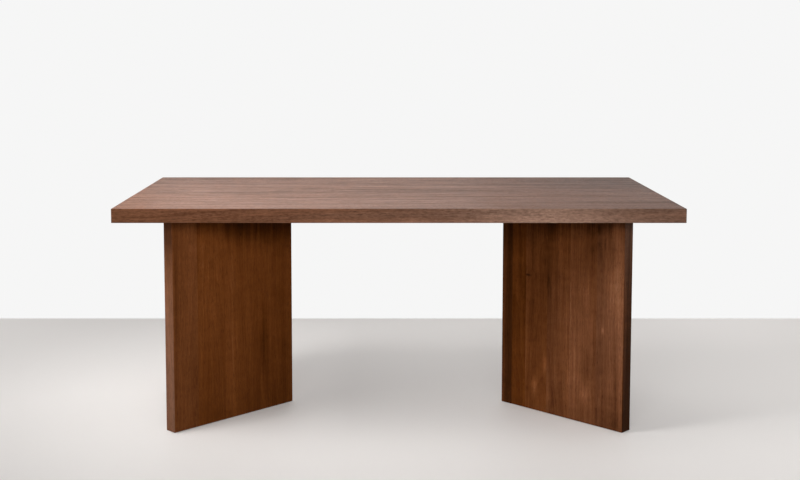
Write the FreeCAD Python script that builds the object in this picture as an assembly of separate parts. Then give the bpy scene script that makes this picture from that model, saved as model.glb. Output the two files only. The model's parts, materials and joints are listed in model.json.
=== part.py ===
"""Solid walnut dining table on two V-shaped slab legs.

The frame is in millimetres, with +Z up. The origin is on the floor under the middle of the top, +X runs
along the table and +Y to its back. Each leg is built in its own frame, with the outer corner of the V at the
origin, the through panel along +Y and the butted panel along +X, and is then turned and moved to its place.
"""
import FreeCAD
import Part
import math
import os

from FreeCAD import Placement, Rotation, Vector

# Table top
TOP_LENGTH = 1800.0
TOP_WIDTH = 900.0
TOP_THICK = 45.0
TABLE_HEIGHT = 750.0
TOP_BOARD_SHARES = (0.142, 0.111, 0.163, 0.162, 0.125, 0.153, 0.144)
TOP_TENON_COUNT = 6

# Legs: two panels each, set square to each other, with the corner of the V towards the middle of the table
PANEL_REACH = 505.0
PANEL_THICK = 45.0
END_OVERHANG = 141.0
LEG_TURN_DEGREES = 135.0
HALF_TURN_DEGREES = 180.0
THROUGH_STAVE_SHARES = (0.19, 0.215, 0.18, 0.22, 0.195)
BUTTED_STAVE_SHARES = (0.13, 0.2, 0.205, 0.235, 0.23)
STAVE_TENON_COUNT = 3
CORNER_TENON_COUNT = 5
FLOOR_GAP = 2.0
EDGE_ROUND = 1.5

# Loose tenons of beech: length across the joint, width along it
TENON_LENGTH = 50.0
TENON_WIDTH = 40.0
TENON_THICK = 10.0
CORNER_TENON_LENGTH = 40.0
CORNER_TENON_IN_THROUGH = 22.0
TENON_CLEARANCE = 0.1

# Steel mounting plate, let into the top ends of the two panels
PLATE_THICK = 6.0
PLATE_MARGIN = 10.0
PLATE_END_SETBACK = 105.0
PLATE_LIP = 8.0
PLATE_CORNER_ROUND = 6.0
PLATE_CLEARANCE = 0.5

# Bolts down through the plate into barrel nuts in the panels
BOLT_DIAMETER = 8.0
BOLT_HOLE_DIAMETER = 9.0
PANEL_BOLT_LENGTH = 70.0
PANEL_BOLT_HEAD_DIAMETER = 16.0
BOLT_BORE_SPARE = 5.0
NUT_DIAMETER = 12.0
NUT_LENGTH = 25.0
NUT_DEPTH = 55.0
HEXAGON_SIDES = 6
SOCKET_ACROSS_FLATS = 5.0
SOCKET_DEPTH = 3.0
FIT_CLEARANCE = 0.1

# Bolts up through slots in the plate into threaded inserts in the top
TOP_BOLT_NEAR_REACH = 130.0
TOP_BOLT_EDGE_SETBACK = 65.0
TOP_BOLT_PANEL_GAP = 40.079
TOP_BOLT_LENGTH = 25.0
TOP_BOLT_HEAD_DIAMETER = 14.0
TOP_BOLT_HEAD_HEIGHT = 4.4
WASHER_DIAMETER = 24.0
WASHER_THICK = 2.0
SLOT_PLAY = 16.0
INSERT_DIAMETER = 14.0
INSERT_LENGTH = 20.0
INSERT_BORE_SPARE = 2.0

# Floor glides and their screws
GLIDE_DIAMETER = 28.0
GLIDE_THICK = 8.0
GLIDE_EDGE_ROUND = 1.0
GLIDE_CLEARANCE = 0.5
GLIDE_SCREW_DIAMETER = 4.0
GLIDE_SCREW_LENGTH = 30.0
GLIDE_SCREW_HEAD_DIAMETER = 8.0
GLIDE_SCREW_HEAD_HEIGHT = 2.5
GLIDE_SCREW_SEAT = 4.0
GLIDE_SCREW_POINT = 5.0

# How far a cutter runs past the face it opens, and how near counts as on a plane
OVERRUN = 1.0
ON_PLANE = 0.001

# Worked out from the above
PANEL_TOP = TABLE_HEIGHT - TOP_THICK
PANEL_HEIGHT = PANEL_TOP - FLOOR_GAP
PLATE_REACH = PANEL_REACH - PLATE_END_SETBACK
PLATE_OPEN_EDGE = (PLATE_REACH + PANEL_THICK + PLATE_LIP) / math.sqrt(2)
TOP_BOLT_FAR_REACH = PLATE_OPEN_EDGE - TOP_BOLT_EDGE_SETBACK
TOP_BOLT_SPREAD = TOP_BOLT_FAR_REACH - (PANEL_THICK + TOP_BOLT_PANEL_GAP) * math.sqrt(2)
MID_THICK = PANEL_THICK / 2
LEG_LENGTH = (PANEL_REACH + PANEL_THICK) / math.sqrt(2)
CORNER_FROM_CENTRE = TOP_LENGTH / 2 - END_OVERHANG - LEG_LENGTH

X_AXIS = Vector(1, 0, 0)
Y_AXIS = Vector(0, 1, 0)
Z_AXIS = Vector(0, 0, 1)

# From the corner of the V, along its middle line and across it
V_ALONG = (X_AXIS + Y_AXIS).normalize()
V_ACROSS = (X_AXIS - Y_AXIS).normalize()


def cylinder(diameter, length, base, direction=Z_AXIS):
    return Part.makeCylinder(diameter / 2, length, base, direction)


def prism(points, height):
    """A vertical prism on a plan outline, with its corners as given."""
    face = Part.Face(Part.makePolygon(points + points[:1]))
    return face.extrude(Z_AXIS * height)


def lies_on(edge, axis, place):
    """True if an edge lies in the plane where one coordinate has the given value."""
    box = edge.BoundBox
    lowest = getattr(box, axis + "Min")
    highest = getattr(box, axis + "Max")
    return abs(lowest - place) < ON_PLANE and abs(highest - place) < ON_PLANE


def spaced(start, length, count):
    """The middles of equal parts of a length."""
    return middles(bounds(start, length, [1] * count))


def bounds(start, length, shares):
    """Where the parts of a length begin, in order, and where the last one ends."""
    places = [start]
    for share in shares:
        places.append(places[-1] + length * share / sum(shares))
    return places


def middles(places):
    return [(low + high) / 2 for low, high in zip(places, places[1:])]


def top_bounds():
    """The front and back of each board of the top."""
    return bounds(-TOP_WIDTH / 2, TOP_WIDTH, TOP_BOARD_SHARES)


def through_bounds():
    """The edges of the staves of the through panel, from the corner of the V."""
    return bounds(0, PANEL_REACH, THROUGH_STAVE_SHARES)


def butted_bounds():
    """The edges of the staves of the butted panel, from the through panel's inner face."""
    return bounds(PANEL_THICK, PANEL_REACH - PANEL_THICK, BUTTED_STAVE_SHARES)


def stadium_bar(centre, along, across, length, width, thick):
    """A bar with two round edges, as a loose tenon has. Its length runs along, and its width across."""
    normal = along.cross(across)
    radius = thick / 2
    start = centre - along * (length / 2)
    reach = across * (width / 2 - radius)
    bulge = across * (width / 2)
    rise = normal * radius
    outline = Part.Wire([
        Part.LineSegment(start - reach + rise, start + reach + rise).toShape(),
        Part.Arc(start + reach + rise, start + bulge, start + reach - rise).toShape(),
        Part.LineSegment(start + reach - rise, start - reach - rise).toShape(),
        Part.Arc(start - reach - rise, start - bulge, start - reach + rise).toShape(),
    ])
    return Part.Face(outline).extrude(along * length)


def tenon_and_mortise(centre, along, across, length=TENON_LENGTH):
    tenon = stadium_bar(centre, along, across, length, TENON_WIDTH, TENON_THICK)
    room = 2 * TENON_CLEARANCE
    mortise = stadium_bar(centre, along, across, length + room, TENON_WIDTH + room, TENON_THICK + room)
    return tenon, mortise


def hex_socket(opening, direction):
    """The cutter for a bolt's key socket, from the middle of its opening into the head."""
    corner_radius = SOCKET_ACROSS_FLATS / math.sqrt(3)
    corners = []
    for corner in range(HEXAGON_SIDES):
        angle = math.tau * corner / HEXAGON_SIDES
        arm = X_AXIS * math.cos(angle) + Y_AXIS * math.sin(angle)
        corners.append(opening + arm * corner_radius)
    face = Part.Face(Part.makePolygon(corners + corners[:1]))
    return face.extrude(direction * SOCKET_DEPTH)


def leg_placement(side):
    """Where a leg stands: the left one towards -X, and the right one the same leg, turned by half a turn."""
    if side == "left":
        return Placement(Vector(-CORNER_FROM_CENTRE, 0, 0), Rotation(Z_AXIS, LEG_TURN_DEGREES))
    turn = LEG_TURN_DEGREES + HALF_TURN_DEGREES
    return Placement(Vector(CORNER_FROM_CENTRE, 0, 0), Rotation(Z_AXIS, turn))


def placed(shape, placement):
    moved = shape.copy()
    moved.Placement = placement.multiply(shape.Placement)
    return moved


def top_bolt_places():
    """Places of the bolts into the top, in a leg's frame: one near the corner, and two beside the panels."""
    near = V_ALONG * TOP_BOLT_NEAR_REACH
    far = V_ALONG * TOP_BOLT_FAR_REACH
    return [near, far - V_ACROSS * TOP_BOLT_SPREAD, far + V_ACROSS * TOP_BOLT_SPREAD]


def panel_bolt_places():
    """Places of the bolts into every other stave, in a leg's frame, each with the way its barrel nut lies."""
    places = []
    for along in middles(through_bounds())[1::2]:
        places.append((Vector(MID_THICK, along, PANEL_TOP), X_AXIS))
    for along in middles(butted_bounds())[1::2]:
        places.append((Vector(along, MID_THICK, PANEL_TOP), Y_AXIS))
    return places


def glide_places():
    """Places of the glides on the floor, in a leg's frame, under the middle of a stave."""
    through = middles(through_bounds())
    butted = middles(butted_bounds())
    return {
        "through": Vector(MID_THICK, through[-1], 0),
        "corner": Vector(MID_THICK, through[0], 0),
        "butted": Vector(butted[-1], MID_THICK, 0),
    }


def top_inserts():
    """The threaded inserts and the cutters for their bores, in the table's frame."""
    inserts = []
    bores = []
    bore_diameter = INSERT_DIAMETER + 2 * FIT_CLEARANCE
    thread_diameter = BOLT_DIAMETER + 2 * FIT_CLEARANCE
    for side in ("left", "right"):
        for place in top_bolt_places():
            seat = leg_placement(side).multVec(place) + Z_AXIS * PANEL_TOP
            thread = cylinder(thread_diameter, INSERT_LENGTH, seat)
            inserts.append(cylinder(INSERT_DIAMETER, INSERT_LENGTH, seat).cut(thread))
            bore_base = seat - Z_AXIS * OVERRUN
            bores.append(cylinder(bore_diameter, INSERT_LENGTH + INSERT_BORE_SPARE + OVERRUN, bore_base))
    return inserts, bores


def table_top():
    """The boards of the top, from front to back, with their tenons and the inserts in the underside."""
    front = -TOP_WIDTH / 2
    end = -TOP_LENGTH / 2
    blank = Part.makeBox(TOP_LENGTH, TOP_WIDTH, TOP_THICK, Vector(end, front, PANEL_TOP))
    blank = blank.makeFillet(EDGE_ROUND, blank.Edges)
    inserts, cutters = top_inserts()
    tenons = []
    for joint in top_bounds()[1:-1]:
        for along in spaced(end, TOP_LENGTH, TOP_TENON_COUNT):
            centre = Vector(along, joint, TABLE_HEIGHT - TOP_THICK / 2)
            tenon, mortise = tenon_and_mortise(centre, Y_AXIS, X_AXIS)
            tenons.append(tenon)
            cutters.append(mortise)
    blank = blank.cut(cutters)
    boards = []
    for low, high in zip(top_bounds(), top_bounds()[1:]):
        corner = Vector(end, low, PANEL_TOP)
        boards.append(blank.common(Part.makeBox(TOP_LENGTH, high - low, TOP_THICK, corner)))
    return boards, tenons, inserts


def through_blank():
    """The panel that runs through to the corner of the V, with its free arrises eased."""
    blank = Part.makeBox(PANEL_THICK, PANEL_REACH, PANEL_HEIGHT, Vector(0, 0, FLOOR_GAP))
    eased = []
    for edge in blank.Edges:
        outside = lies_on(edge, "X", 0) or lies_on(edge, "Y", PANEL_REACH)
        if outside and not lies_on(edge, "Z", PANEL_TOP):
            eased.append(edge)
    return blank.makeFillet(EDGE_ROUND, eased)


def butted_blank():
    """The panel that meets the through panel's inner face, with its free arrises eased."""
    length = PANEL_REACH - PANEL_THICK
    blank = Part.makeBox(length, PANEL_THICK, PANEL_HEIGHT, Vector(PANEL_THICK, 0, FLOOR_GAP))
    eased = []
    for edge in blank.Edges:
        outside = lies_on(edge, "Y", 0) or lies_on(edge, "X", PANEL_REACH)
        joined = lies_on(edge, "X", PANEL_THICK) or lies_on(edge, "Z", PANEL_TOP)
        if outside and not joined:
            eased.append(edge)
    return blank.makeFillet(EDGE_ROUND, eased)


def panel_tenons():
    """Tenons and mortises between the staves of both panels, in a leg's frame."""
    pairs = []
    for height in spaced(FLOOR_GAP, PANEL_HEIGHT, STAVE_TENON_COUNT):
        for joint in through_bounds()[1:-1]:
            pairs.append(tenon_and_mortise(Vector(MID_THICK, joint, height), Y_AXIS, Z_AXIS))
        for joint in butted_bounds()[1:-1]:
            pairs.append(tenon_and_mortise(Vector(joint, MID_THICK, height), X_AXIS, Z_AXIS))
    return pairs


def corner_tenons():
    """Tenons and mortises that hold the butted panel's edge to the through panel's inner face."""
    pairs = []
    middle = PANEL_THICK - CORNER_TENON_IN_THROUGH + CORNER_TENON_LENGTH / 2
    for height in spaced(FLOOR_GAP, PANEL_HEIGHT, CORNER_TENON_COUNT):
        centre = Vector(middle, MID_THICK, height)
        pairs.append(tenon_and_mortise(centre, X_AXIS, Z_AXIS, CORNER_TENON_LENGTH))
    return pairs


def plate_outline(clearance):
    """A mounting plate's plan shape, in a leg's frame, with room round it where that is wanted."""
    low = PLATE_MARGIN - clearance
    high = PLATE_REACH + clearance
    lip = PANEL_THICK + PLATE_LIP
    base = PANEL_TOP - PLATE_THICK
    points = [
        Vector(low, low, base),
        Vector(high, low, base),
        Vector(high, lip, base),
        Vector(lip, high, base),
        Vector(low, high, base),
    ]
    shape = prism(points, PLATE_THICK)
    upright = [edge for edge in shape.Edges if edge.BoundBox.ZLength > PLATE_THICK / 2]
    return shape.makeFillet(PLATE_CORNER_ROUND, upright)


def countersink(place, clearance):
    """The cone of a countersunk head, flush with the plate's top face."""
    head_height = (PANEL_BOLT_HEAD_DIAMETER - BOLT_DIAMETER) / 2
    shank_radius = BOLT_DIAMETER / 2 + clearance
    head_radius = PANEL_BOLT_HEAD_DIAMETER / 2 + clearance
    return Part.makeCone(shank_radius, head_radius, head_height, place - Z_AXIS * head_height)


def mounting_plate():
    """A plate with countersunk holes over the panels, and slots across the grain of the top."""
    cutters = []
    depth = PLATE_THICK + OVERRUN
    for place, _ in panel_bolt_places():
        cutters.append(countersink(place, FIT_CLEARANCE))
        cutters.append(cylinder(BOLT_HOLE_DIAMETER, depth, place - Z_AXIS * depth))
    for place in top_bolt_places():
        middle = place + Z_AXIS * (PANEL_TOP - PLATE_THICK / 2)
        slot_length = BOLT_HOLE_DIAMETER + SLOT_PLAY
        height = PLATE_THICK + 2 * OVERRUN
        cutters.append(stadium_bar(middle, Z_AXIS, V_ACROSS, height, slot_length, BOLT_HOLE_DIAMETER))
    return plate_outline(0).cut(cutters)


def panel_bolt(place):
    shank = cylinder(BOLT_DIAMETER, PANEL_BOLT_LENGTH, place - Z_AXIS * PANEL_BOLT_LENGTH)
    return shank.fuse(countersink(place, 0)).cut(hex_socket(place, -Z_AXIS))


def barrel_nut(place, lying):
    middle = place - Z_AXIS * NUT_DEPTH
    nut = cylinder(NUT_DIAMETER, NUT_LENGTH, middle - lying * (NUT_LENGTH / 2), lying)
    thread = cylinder(BOLT_DIAMETER + 2 * FIT_CLEARANCE, NUT_DIAMETER, middle - Z_AXIS * (NUT_DIAMETER / 2))
    return nut.cut(thread)


def panel_bolt_bores(place, lying):
    """The upright bore for a bolt, and the bore for its barrel nut from the panel's inner face."""
    depth = PANEL_BOLT_LENGTH + BOLT_BORE_SPARE
    upright = cylinder(BOLT_HOLE_DIAMETER, depth, place - Z_AXIS * depth)
    start = place - Z_AXIS * NUT_DEPTH - lying * (NUT_LENGTH / 2 + FIT_CLEARANCE)
    length = MID_THICK + NUT_LENGTH / 2 + FIT_CLEARANCE + OVERRUN
    return [upright, cylinder(NUT_DIAMETER + 2 * FIT_CLEARANCE, length, start, lying)]


def top_bolt(place):
    under_head = place + Z_AXIS * (PANEL_TOP - PLATE_THICK - WASHER_THICK)
    opening = under_head - Z_AXIS * TOP_BOLT_HEAD_HEIGHT
    head = cylinder(TOP_BOLT_HEAD_DIAMETER, TOP_BOLT_HEAD_HEIGHT, opening)
    rim = [edge for edge in head.Edges if lies_on(edge, "Z", opening.z)]
    head = head.makeFillet(TOP_BOLT_HEAD_HEIGHT / 2, rim)
    shank = cylinder(BOLT_DIAMETER, TOP_BOLT_LENGTH, under_head)
    return head.fuse(shank).cut(hex_socket(opening, Z_AXIS))


def top_washer(place):
    base = place + Z_AXIS * (PANEL_TOP - PLATE_THICK - WASHER_THICK)
    hole = cylinder(BOLT_HOLE_DIAMETER, WASHER_THICK, base)
    return cylinder(WASHER_DIAMETER, WASHER_THICK, base).cut(hole)


def floor_glide(place):
    glide = cylinder(GLIDE_DIAMETER, GLIDE_THICK, place)
    rim = [edge for edge in glide.Edges if lies_on(edge, "Z", 0) and edge.Closed]
    glide = glide.makeFillet(GLIDE_EDGE_ROUND, rim)
    hole = cylinder(GLIDE_SCREW_DIAMETER + 2 * FIT_CLEARANCE, GLIDE_THICK, place)
    seat = cylinder(GLIDE_SCREW_HEAD_DIAMETER + 2 * GLIDE_CLEARANCE, GLIDE_SCREW_SEAT, place)
    return glide.cut([hole, seat])


def glide_screw(place):
    seat = place + Z_AXIS * GLIDE_SCREW_SEAT
    under_head = seat - Z_AXIS * GLIDE_SCREW_HEAD_HEIGHT
    head = cylinder(GLIDE_SCREW_HEAD_DIAMETER, GLIDE_SCREW_HEAD_HEIGHT, under_head)
    straight = GLIDE_SCREW_LENGTH - GLIDE_SCREW_POINT
    shank = cylinder(GLIDE_SCREW_DIAMETER, straight, seat)
    point = Part.makeCone(GLIDE_SCREW_DIAMETER / 2, 0, GLIDE_SCREW_POINT, seat + Z_AXIS * straight)
    return head.fuse([shank, point])


def glide_bores(place):
    """The recess for a glide in a panel's bottom end, and the pilot hole for its screw."""
    recess = cylinder(GLIDE_DIAMETER + 2 * GLIDE_CLEARANCE, GLIDE_THICK, place)
    pilot = cylinder(GLIDE_SCREW_DIAMETER + 2 * FIT_CLEARANCE, GLIDE_SCREW_SEAT + GLIDE_SCREW_LENGTH, place)
    return [recess, pilot]


def leg():
    """Every piece of one leg, in the leg's frame."""
    stave_pairs = panel_tenons()
    corner_pairs = corner_tenons()
    bolts = panel_bolt_places()
    glides = glide_places()
    cutters = [mortise for _, mortise in stave_pairs + corner_pairs]
    cutters.append(plate_outline(PLATE_CLEARANCE))
    for place, lying in bolts:
        cutters.extend(panel_bolt_bores(place, lying))
    for place in glides.values():
        cutters.extend(glide_bores(place))
    through = through_blank().cut(cutters)
    butted = butted_blank().cut(cutters)
    through_staves = []
    for low, high in zip(through_bounds(), through_bounds()[1:]):
        corner = Vector(0, low, FLOOR_GAP)
        through_staves.append(through.common(Part.makeBox(PANEL_THICK, high - low, PANEL_HEIGHT, corner)))
    butted_staves = []
    for low, high in zip(butted_bounds(), butted_bounds()[1:]):
        corner = Vector(low, 0, FLOOR_GAP)
        butted_staves.append(butted.common(Part.makeBox(high - low, PANEL_THICK, PANEL_HEIGHT, corner)))
    return {
        "through_staves": through_staves,
        "butted_staves": butted_staves,
        "stave_tenons": [tenon for tenon, _ in stave_pairs],
        "corner_tenons": [tenon for tenon, _ in corner_pairs],
        "plate": mounting_plate(),
        "panel_bolts": [panel_bolt(place) for place, _ in bolts],
        "barrel_nuts": [barrel_nut(place, lying) for place, lying in bolts],
        "top_bolts": [top_bolt(place) for place in top_bolt_places()],
        "top_washers": [top_washer(place) for place in top_bolt_places()],
        "glides": {name: floor_glide(place) for name, place in glides.items()},
        "glide_screws": [glide_screw(place) for place in glides.values()],
    }


def write_node(name, solids):
    """Writes one node: a single solid, or a group of separate ones."""
    shape = solids[0] if len(solids) == 1 else Part.makeCompound(solids)
    shape.exportStep(os.path.join("parts", name + ".step"))


def write_leg(side, pieces):
    """Writes the nodes of one leg, and returns its fasteners, which both legs share as groups."""
    placement = leg_placement(side)
    through_name = {"left": "front", "right": "rear"}[side]
    butted_name = {"left": "rear", "right": "front"}[side]
    panel_names = {"through": through_name, "butted": butted_name, "corner": "corner"}
    for kind in ("through", "butted"):
        for number, stave in enumerate(pieces[kind + "_staves"], 1):
            write_node(f"{side}_{panel_names[kind]}_panel_stave_{number}", [placed(stave, placement)])
    for kind in ("stave_tenons", "corner_tenons"):
        write_node(f"{side}_leg_{kind}", [placed(tenon, placement) for tenon in pieces[kind]])
    write_node(f"{side}_mounting_plate", [placed(pieces["plate"], placement)])
    for kind, glide in pieces["glides"].items():
        write_node(f"{side}_{panel_names[kind]}_glide", [placed(glide, placement)])
    shared = {}
    for kind in ("panel_bolts", "barrel_nuts", "top_bolts", "top_washers", "glide_screws"):
        shared[kind] = [placed(piece, placement) for piece in pieces[kind]]
    return shared


def main():
    os.makedirs("parts", exist_ok=True)
    boards, tenons, inserts = table_top()
    for number, board in enumerate(boards, 1):
        write_node(f"top_board_{number}", [board])
    write_node("top_board_tenons", tenons)
    write_node("top_inserts", inserts)
    pieces = leg()
    left = write_leg("left", pieces)
    right = write_leg("right", pieces)
    for kind, fasteners in left.items():
        write_node(kind, fasteners + right[kind])


main()
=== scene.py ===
# %% [markdown]
# # A walnut dining table on two V legs
#
# The table is a thick plain top of seven walnut boards, glued edge to edge, on two legs. Each leg is
# a V of two slab panels, and each panel is five upright staves. Loose beech tenons, steel plates,
# bolts and floor glides hold it together out of sight.
#
# The shapes arrive from the frame at their real size, in metres, so nothing is modelled again here.
# What this lesson makes is the rest of the picture: the camera, the studio light and, above all, the
# walnut, which is grown board by board as a solid texture.

# %% Load the frame
import json
import math
import random
from collections import namedtuple

import bpy
from mathutils import Matrix, Vector


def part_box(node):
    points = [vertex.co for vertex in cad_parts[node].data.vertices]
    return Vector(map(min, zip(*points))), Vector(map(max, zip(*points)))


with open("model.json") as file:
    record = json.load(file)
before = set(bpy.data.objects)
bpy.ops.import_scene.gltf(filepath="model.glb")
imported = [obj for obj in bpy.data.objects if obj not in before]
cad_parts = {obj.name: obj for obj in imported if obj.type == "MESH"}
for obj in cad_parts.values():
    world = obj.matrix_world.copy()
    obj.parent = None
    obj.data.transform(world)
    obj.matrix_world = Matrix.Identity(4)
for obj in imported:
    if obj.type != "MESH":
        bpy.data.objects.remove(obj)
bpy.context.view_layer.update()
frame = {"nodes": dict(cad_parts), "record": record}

nodes = frame["nodes"]
print("nodes in the frame:", len(nodes))

# %% [markdown]
# ## The camera
#
# A dining table looks calm when it is seen from well back, a little above the top, through a lens
# longer than a room would usually allow. A level camera with a lot of vertical shift would keep the
# legs perfectly upright, but a large shift carries over to every other view. So most of the fall of
# the view comes from tilting the camera down a few degrees, and only the rest from shift.

# %% Place the camera
EYE = Vector((-0.049, -4.228, 1.265))
LOOK_DOWN = math.radians(5.02)
LENS_MM = 54.87
SHIFT_ACROSS = 0.021
SHIFT_UP = -0.112
LEVEL = math.radians(90)

camera_data = bpy.data.cameras.new("camera")
camera_data.lens = LENS_MM
camera_data.shift_x = SHIFT_ACROSS
camera_data.shift_y = SHIFT_UP
camera = bpy.data.objects.new("camera", camera_data)
camera.location = EYE
camera.rotation_euler = (LEVEL - LOOK_DOWN, 0, 0)
bpy.context.scene.collection.objects.link(camera)
bpy.context.scene.camera = camera
bpy.context.scene.view_settings.view_transform = "Standard"

# %% [markdown]
# ## Small tools for node trees
#
# Every material below is a tree of nodes. Adding nodes one by one in code soon hides what the tree
# means, so a few helpers come first: one that feeds a socket from a link or a plain value, and one
# each for the maths, vector and noise nodes that wood needs again and again.

# %% Node helpers
def feed(tree, socket, value):
    """Links a socket to another socket, or sets it to a plain value."""
    if isinstance(value, bpy.types.NodeSocket):
        tree.links.new(value, socket)
    else:
        socket.default_value = value


def maths(tree, operation, *values):
    """A maths node on values or sockets."""
    node = tree.nodes.new("ShaderNodeMath")
    node.operation = operation
    for socket, value in zip(node.inputs, values):
        feed(tree, socket, value)
    return node.outputs["Value"]


def vectors(tree, operation, *values):
    """A vector maths node. Its result is a vector, or a value for length and dot product."""
    node = tree.nodes.new("ShaderNodeVectorMath")
    node.operation = operation
    for socket, value in zip(node.inputs, values):
        feed(tree, socket, value)
    gives_value = operation in ("LENGTH", "DOT_PRODUCT")
    return node.outputs["Value" if gives_value else "Vector"]


def remap(tree, value, old, new, smooth=False):
    """A value moved from one range to another, and held inside it."""
    node = tree.nodes.new("ShaderNodeMapRange")
    node.interpolation_type = "SMOOTHSTEP" if smooth else "LINEAR"
    labels = ("Value", "From Min", "From Max", "To Min", "To Max")
    for label, setting in zip(labels, (value, *old, *new)):
        feed(tree, node.inputs[label], setting)
    return node.outputs["Result"]


def noise(tree, place, stretch, detail=2.0, roughness=0.5):
    """Noise whose waves per metre along X, Y and Z are the stretch."""
    node = tree.nodes.new("ShaderNodeTexNoise")
    feed(tree, node.inputs["Vector"], vectors(tree, "MULTIPLY", place, stretch))
    node.inputs["Scale"].default_value = 1.0
    node.inputs["Detail"].default_value = detail
    node.inputs["Roughness"].default_value = roughness
    return node.outputs


def line_noise(tree, along, detail=1.0):
    """Noise along one value, which makes bands instead of blotches."""
    node = tree.nodes.new("ShaderNodeTexNoise")
    node.noise_dimensions = "1D"
    feed(tree, node.inputs["W"], along)
    node.inputs["Scale"].default_value = 1.0
    node.inputs["Detail"].default_value = detail
    return node.outputs[0]


# A Mix node keeps sockets for every kind of data, under the same labels. These are those for colours.
FIRST_COLOUR = 6
SECOND_COLOUR = 7
MIXED_COLOUR = 2


def mix_colours(tree, share, first, second):
    """Two colours mixed by a share from 0 to 1."""
    node = tree.nodes.new("ShaderNodeMix")
    node.data_type = "RGBA"
    feed(tree, node.inputs[0], share)
    feed(tree, node.inputs[FIRST_COLOUR], first)
    feed(tree, node.inputs[SECOND_COLOUR], second)
    return node.outputs[MIXED_COLOUR]


# %% [markdown]
# ## Floor, backdrop and world
#
# The floor is a plain pale sheet that keeps the table's soft shadow. A studio floor is wide and evenly
# lit, which would take lamps far outside this small set. Instead the sheet glows a little to the eye,
# more beside the table, far from it and near on the right, where the lamps give least. It also throws
# less light back on the legs than its colour says.
#
# Behind the table stands a white card. A card that was really lit to white would flood the wood with
# light, so it is only seen by the camera and by reflections, through the Light Path node, and it is
# clear from behind so that the table can be looked at from the back. The world follows the same rule:
# white to the eye, and to the wood a soft light from behind and from the right.

# %% Stage helpers
def open_tree(owner):
    """The emptied node tree of a material or a world."""
    owner.use_nodes = True
    owner.node_tree.nodes.clear()
    return owner.node_tree


def seen_rays(tree):
    """1 for rays that show the background: camera, glossy and transmission rays."""
    path = tree.nodes.new("ShaderNodeLightPath").outputs
    mirrored = maths(tree, "MAXIMUM", path["Is Glossy Ray"], path["Is Transmission Ray"])
    return maths(tree, "MAXIMUM", path["Is Camera Ray"], mirrored)


def mix_shaders(tree, share, first, second):
    """Two shaders mixed by a share from 0 to 1."""
    node = tree.nodes.new("ShaderNodeMixShader")
    feed(tree, node.inputs[0], share)
    tree.links.new(first, node.inputs[1])
    tree.links.new(second, node.inputs[2])
    return node.outputs[0]


def add_sheet(name, size, **place):
    """A plain square sheet of the stage."""
    bpy.ops.object.select_all(action="DESELECT")
    bpy.ops.mesh.primitive_plane_add(size=size, **place)
    sheet = bpy.context.object
    sheet.name = name
    return sheet


# %% Floor
FLOOR_SPAN = 40.0
FLOOR_GLOW = (0.18, 0.1722, 0.1667, 1.0)
FLOOR_GREY = (0.66, 0.632, 0.612, 1.0)
FLOOR_BOUNCE = (0.2, 0.19, 0.185, 1.0)
FLOOR_ROUGHNESS = 0.6
GLOW_MIDDLE = -0.16
GLOW_CLEAR = 1.4
GLOW_REACH = 1.7
GLOW_RANGE = (0.9, 2.1)
GLOW_DEPTH = (-0.9, 0.1)
GLOW_SIDES = (0.3, 1.3)
GLOW_NEAR = (0.55, 0.85)

floor = add_sheet("floor", FLOOR_SPAN)
floor_paint = bpy.data.materials.new("floor_paint")
tree = open_tree(floor_paint)
screed = tree.nodes.new("ShaderNodeBsdfPrincipled")
seen = seen_rays(tree)
tree.links.new(mix_colours(tree, seen, FLOOR_BOUNCE, FLOOR_GREY), screed.inputs["Base Color"])
screed.inputs["Roughness"].default_value = FLOOR_ROUGHNESS
screed.inputs["Emission Color"].default_value = FLOOR_GLOW
floor_axes = tree.nodes.new("ShaderNodeSeparateXYZ")
tree.links.new(tree.nodes.new("ShaderNodeTexCoord").outputs["Object"], floor_axes.inputs[0])
floor_x, floor_y = floor_axes.outputs[:2]
aside = maths(tree, "ABSOLUTE", maths(tree, "SUBTRACT", floor_x, GLOW_MIDDLE))
beside_table = remap(tree, aside, (0.0, GLOW_REACH), GLOW_RANGE)
near_share = remap(tree, floor_x, GLOW_SIDES, GLOW_NEAR, smooth=True)
depth_share = remap(tree, floor_y, GLOW_DEPTH, (near_share, 1.0))
beside_table = maths(tree, "MULTIPLY", beside_table, depth_share)
far_off = maths(tree, "SUBTRACT", maths(tree, "ABSOLUTE", floor_y), GLOW_CLEAR)
far_floor = remap(tree, far_off, (0.0, GLOW_REACH), (0.0, GLOW_RANGE[1]))
glow = maths(tree, "MAXIMUM", beside_table, far_floor)
tree.links.new(maths(tree, "MULTIPLY", seen, glow), screed.inputs["Emission Strength"])
tree.links.new(screed.outputs[0], tree.nodes.new("ShaderNodeOutputMaterial").inputs["Surface"])
floor.data.materials.append(floor_paint)
print("floor:", floor.dimensions[:2])

# %% Backdrop card
CARD_WHITE = (0.922, 0.922, 0.92, 1.0)
CARD_BEHIND = 1.31

card = add_sheet(
    "backdrop", FLOOR_SPAN, location=(0, CARD_BEHIND, FLOOR_SPAN / 2), rotation=(LEVEL, 0, 0)
)
card_paper = bpy.data.materials.new("backdrop_paper")
tree = open_tree(card_paper)
card_light = tree.nodes.new("ShaderNodeEmission")
card_light.inputs["Color"].default_value = CARD_WHITE
clear = tree.nodes.new("ShaderNodeBsdfTransparent")
behind = tree.nodes.new("ShaderNodeNewGeometry").outputs["Backfacing"]
seen_in_front = maths(tree, "MULTIPLY", seen_rays(tree), maths(tree, "SUBTRACT", 1.0, behind))
card_face = mix_shaders(tree, seen_in_front, clear.outputs[0], card_light.outputs[0])
tree.links.new(card_face, tree.nodes.new("ShaderNodeOutputMaterial").inputs["Surface"])
card.data.materials.append(card_paper)
print("backdrop stands", CARD_BEHIND, "m behind the middle of the table")

# %% World
AMBIENT_STRENGTH = 0.75
AMBIENT_SPREAD = (-0.1, 0.9)
FROM_BEHIND = (0.45, 0.89, 0.1)

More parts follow.
